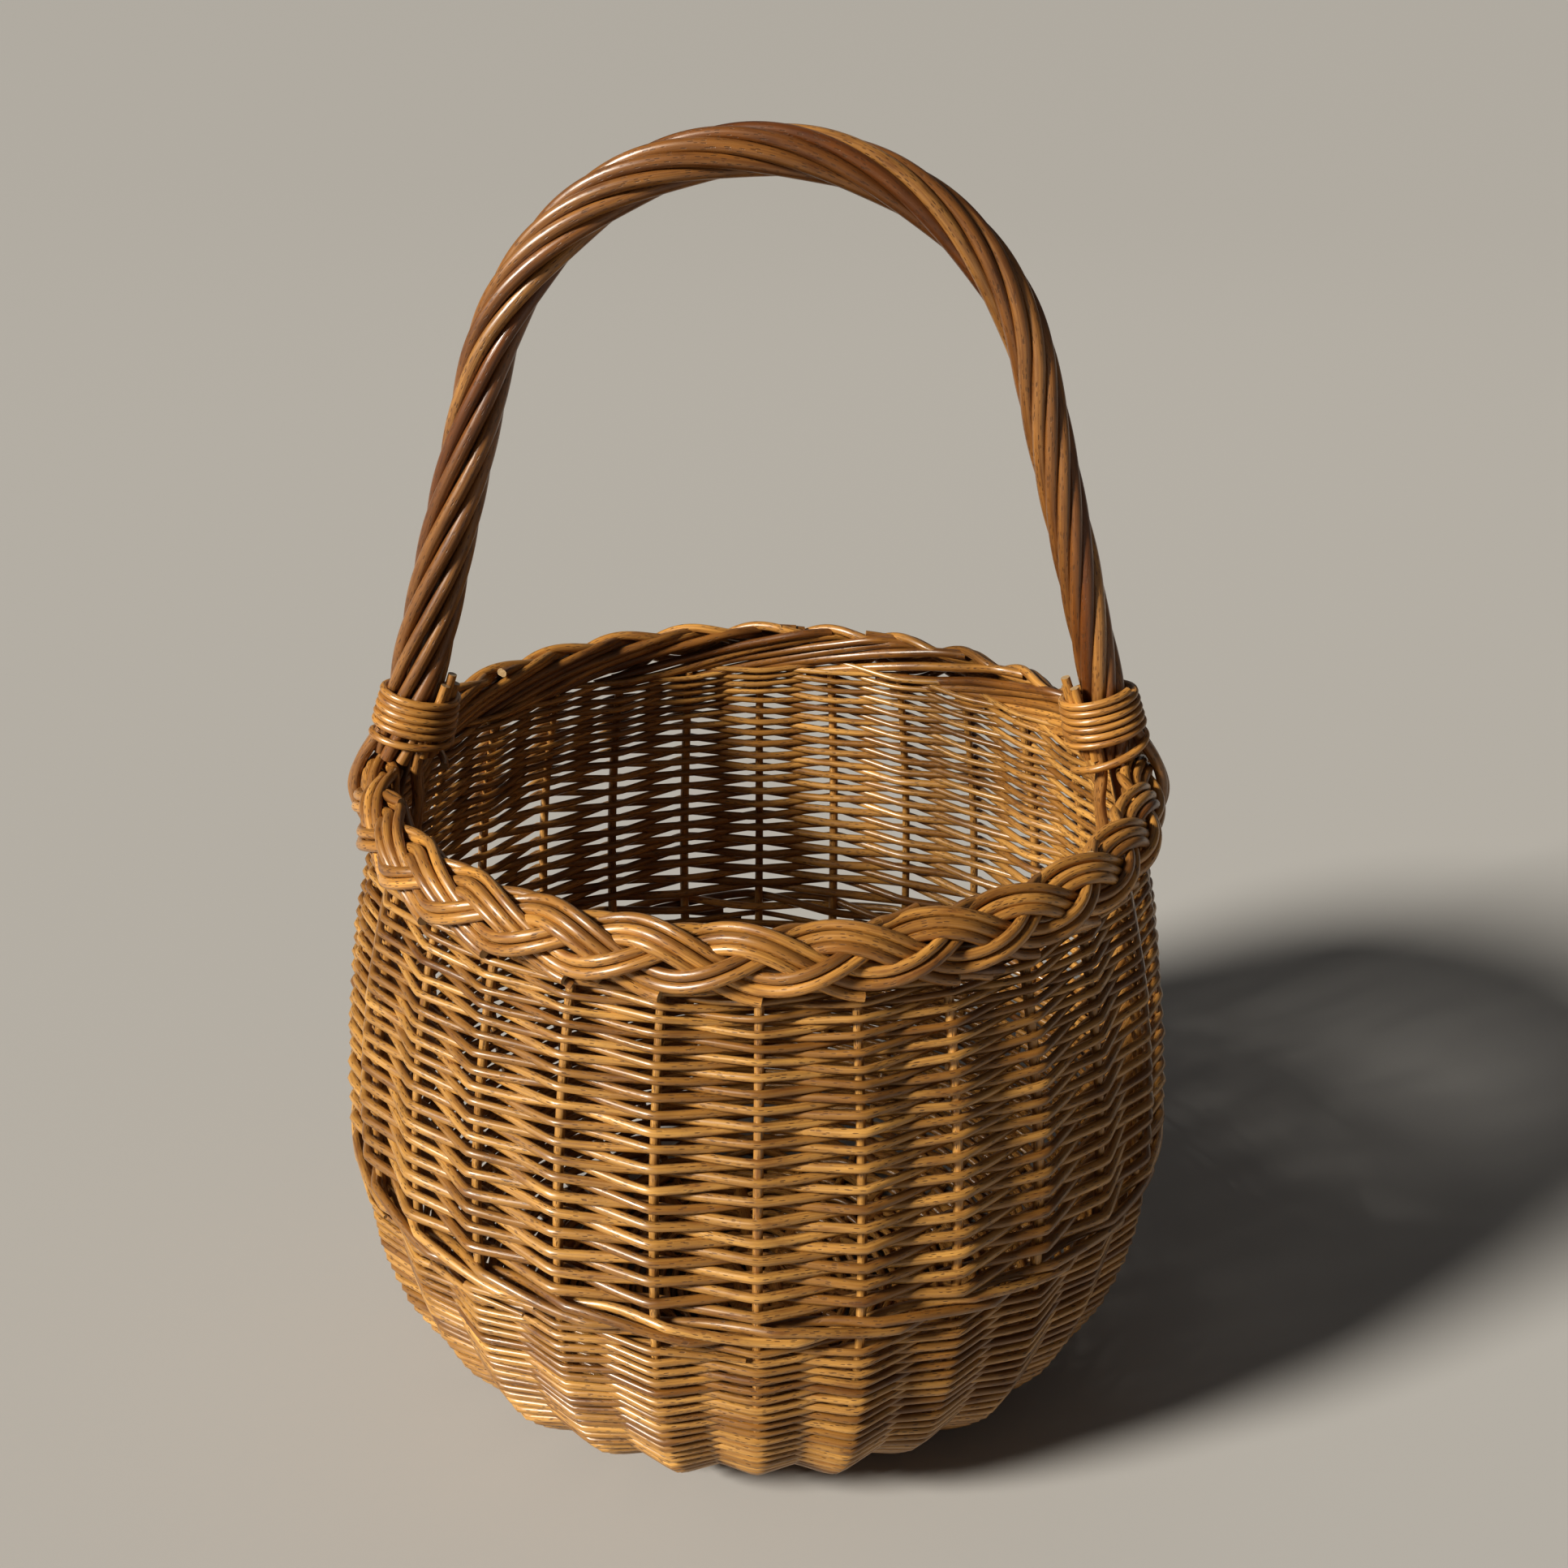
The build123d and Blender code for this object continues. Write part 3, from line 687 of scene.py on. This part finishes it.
def foot(side, name):
    """The lashing, the short stubs, and the rods that go down inside and outside one foot."""
    leg, outward = bow(np.array([LASHING_PLACE if side < 0 else HANDLE_LENGTH - LASHING_PLACE]))
    centre, outward = leg[0], outward[0]
    along = unit(np.cross(outward, (0, 1, 0)) * side)
    across = np.array([0, 1.0, 0])

    # the wound rod: its lowest turn is steep, the others close
    wound = Rods(10)
    steps = int(LASHING_TURNS * 60)
    turned = np.linspace(0, LASHING_TURNS, steps)
    phase = side * turned * 2 * math.pi + math.pi
    rise = np.interp(turned, [0, 0.5, 1.0, 1.4, LASHING_TURNS], [-9, -1, 2.5, 4.5, 20.5]) * MM
    wide = np.interp(turned, [0, 1, 2, 4, LASHING_TURNS], [14.6, 14.8, 14.6, 14.2, 13.6]) * MM
    deep = np.interp(turned, [0, LASHING_TURNS], [12.4, 11.6]) * MM
    wide = wide + wander(steps, 0.3 * MM, 18, closed=False)
    rise = rise + wander(steps, 0.35 * MM, 14, closed=False)
    middle = centre - outward * 2.4 * MM
    line = (middle + outward * (wide * np.cos(phase))[:, None] + across * (deep * np.sin(phase))[:, None]
            + along * rise[:, None])
    wound.add(line, LASHING_ROD * (1 + wander(steps, 0.07, 12, closed=False)), up=along, flat=0.95, tone=0.7)

    # stubs inside the lashing: their places outward and across, and how far they stand above it, in mm
    for place, lean, tall in ((-11.2, -4.6, 13), (-8.6, -7.4, 9), (-12.0, -0.4, 8)):
        start = centre + outward * place * MM + across * lean * MM - along * 4 * MM
        tip = start + along * (22 + tall) * MM - outward * rng.uniform(0, 3) * MM
        wound.add(smooth([start, (start + tip) / 2 + outward * 0.4 * MM, tip], 12),
                  np.linspace(1.9, 1.75, 12) * MM, tone=0.85)
    wound.make(f"lashing_rods_{name}", LASHING, "lashing_willow", [f"lashing_{name}"])

    # tails over the outside of the border: their places across, and how far they stand off it, in mm
    tails = Rods(12)
    for shift, proud in ((-3.2, 0.4), (1.8, 1.6)):
        points = [(abs(centre[0]) + 8 * MM, centre[2] + 4 * MM),
                  (BORDER_REACH - 1 * MM, centre[2] - 10 * MM),
                  (BORDER_REACH + (1.6 + proud) * MM, centre[2] - 22 * MM),
                  (BORDER_REACH - 0.5 * MM, RIM_HEIGHT - 2 * MM),
                  (BORDER_REACH - 9 * MM, RIM_HEIGHT - 14 * MM)]
        line = smooth([(side * x, shift * MM * (1 - 0.3 * k), z) for k, (x, z) in enumerate(points)], TAIL_STEPS)
        tails.add(line, np.linspace(2.4, 1.9, TAIL_STEPS) * MM, tone=0.6)

    # tails down the inside: their places across, and the heights of their ends above the rim, in mm
    for shift, low_end in ((-7.0, -6), (-2.6, -16)):
        points = [(abs(centre[0]) - 9.0 * MM, centre[2] + 5 * MM),
                  (INSIDE - 4.5 * MM, RIM_HEIGHT + 22 * MM),
                  (INSIDE - 4.0 * MM, RIM_HEIGHT + 8 * MM),
                  (INSIDE - 1.0 * MM, RIM_HEIGHT + low_end * MM)]
        line = smooth([(side * x, shift * MM, z) for x, z in points], TAIL_STEPS)
        tails.add(line, np.linspace(2.3, 1.8, TAIL_STEPS) * MM, tone=0.95)
    tails.make(f"handle_tails_{name}", HANDLE, "handle_willow", [f"tail_{name}"])


foot(-1, "left")
foot(1, "right")

# ---------------------------------------------------------------- floor, light and camera

bpy.ops.mesh.primitive_grid_add(x_subdivisions=2, y_subdivisions=2, size=60)
floor = bpy.context.object
floor.name = "floor"
floor_material = bpy.data.materials.new("pale_floor")
floor_material.use_nodes = True
floor_shader = floor_material.node_tree.nodes["Principled BSDF"]
floor_shader.inputs["Base Color"].default_value = (0.5, 0.485, 0.465, 1)
floor_shader.inputs["Roughness"].default_value = 0.85
floor.data.materials.append(floor_material)


def light(name, kind, place, target, size, power, colour):
    """A sun or a round soft light, turned to its target. A sun's size is an angle."""
    data = bpy.data.lights.new(name, kind)
    data.energy = power
    data.color = colour
    if kind == "SUN":
        data.angle = size
    else:
        data.shape = "DISK"
        data.size = size
    lamp = bpy.data.objects.new(name, data)
    bpy.context.scene.collection.objects.link(lamp)
    lamp.location = place
    lamp.rotation_mode = "QUATERNION"
    lamp.rotation_quaternion = (Vector(target) - Vector(place)).to_track_quat("-Z", "Y")


light("window", "SUN", (-1.57, -0.92, 1.25), (0, 0, 0.2), math.radians(12), 4.6, (1, 0.96, 0.88))
light("fill", "AREA", (1.2, -1.8, 1.3), (0, 0, 0.2), 1.8, 0.6, (1, 0.95, 0.88))
light("back", "AREA", (0.3, 1.9, 1.6), (0, 0, 0.25), 1.5, 1, (1, 0.98, 0.95))
world = bpy.data.worlds.new("soft_room")
world.use_nodes = True
background = world.node_tree.nodes["Background"]
background.inputs["Color"].default_value = (0.92, 0.91, 0.9, 1)
background.inputs["Strength"].default_value = 0.07
bpy.context.scene.world = world
bpy.context.scene.view_settings.view_transform = "Standard"
bpy.context.scene.view_settings.look = "Medium High Contrast"

# the camera stands where the photo was taken from
CAMERA_PLACE = (-0.0006, -0.7437, 0.5833)
PITCH, YAW, ROLL = (math.radians(angle) for angle in (24.38, -0.77, 0.54))
camera_data = bpy.data.cameras.new("camera")
camera_data.lens = 48.45
camera_data.sensor_width = 36
camera = bpy.data.objects.new("camera", camera_data)
bpy.context.scene.collection.objects.link(camera)
level_right = Vector((math.cos(YAW), math.sin(YAW), 0))
level_ahead = Vector((-math.sin(YAW), math.cos(YAW), 0))
ahead = level_ahead * math.cos(PITCH) - Vector((0, 0, 1)) * math.sin(PITCH)
upward = level_ahead * math.sin(PITCH) + Vector((0, 0, 1)) * math.cos(PITCH)
right = level_right * math.cos(ROLL) + upward * math.sin(ROLL)
upward = upward * math.cos(ROLL) - level_right * math.sin(ROLL)
camera_turn = Matrix((right, upward, -ahead)).transposed().to_4x4()
camera.matrix_world = Matrix.Translation(CAMERA_PLACE) @ camera_turn
bpy.context.scene.camera = camera
